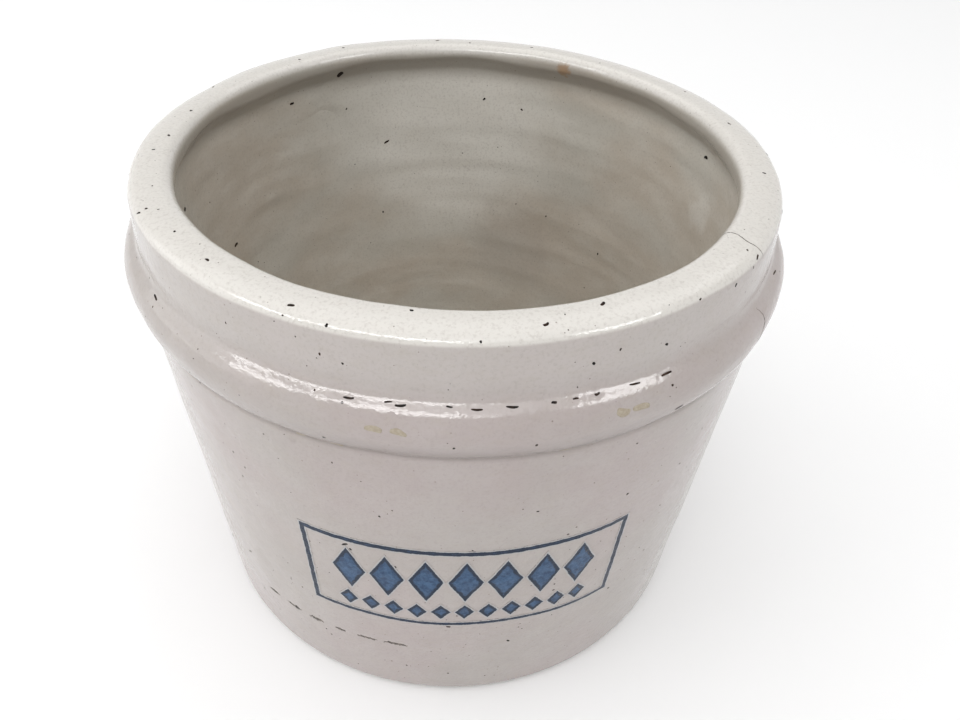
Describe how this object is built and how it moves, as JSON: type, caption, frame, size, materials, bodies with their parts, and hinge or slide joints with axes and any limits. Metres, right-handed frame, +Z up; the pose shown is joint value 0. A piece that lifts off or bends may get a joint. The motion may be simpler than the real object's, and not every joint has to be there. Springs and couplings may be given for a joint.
{
  "type": "stoneware crock",
  "caption": "Open round glazed stoneware crock with a tapered wall, rolled rim and bead, for fermenting, pickling or storing food.",
  "frame": {"origin": "middle of the flat foot, on the surface that the crock stands on", "axes": "+Z up along the crock's axis of revolution, -Y out of the front, where the printed panel is, +X to the right of the panel seen from the front"},
  "size_m": [0.266, 0.266, 0.21],
  "materials": {
    "stoneware": "bare fired buff clay, matt",
    "outside_glaze": "grey-white feldspar glaze, glossy, with iron specks",
    "inside_glaze": "brownish grey glaze, glossy, with throwing rings",
    "cobalt_ink": "mottled cobalt blue print fired into the glaze"
  },
  "bodies": {
    "root": {"stoneware_body": "stoneware", "outer_glaze": "outside_glaze", "liner_glaze": "inside_glaze", "panel_border": "cobalt_ink", "lozenge_1": "cobalt_ink", "lozenge_2": "cobalt_ink", "lozenge_3": "cobalt_ink", "lozenge_4": "cobalt_ink", "lozenge_5": "cobalt_ink", "lozenge_6": "cobalt_ink", "lozenge_7": "cobalt_ink", "small_lozenge_1": "cobalt_ink", "small_lozenge_2": "cobalt_ink", "small_lozenge_3": "cobalt_ink", "small_lozenge_4": "cobalt_ink", "small_lozenge_5": "cobalt_ink", "small_lozenge_6": "cobalt_ink", "small_lozenge_7": "cobalt_ink", "small_lozenge_8": "cobalt_ink", "small_lozenge_9": "cobalt_ink", "small_lozenge_10": "cobalt_ink", "small_lozenge_11": "cobalt_ink"}
  },
  "joints": []
}
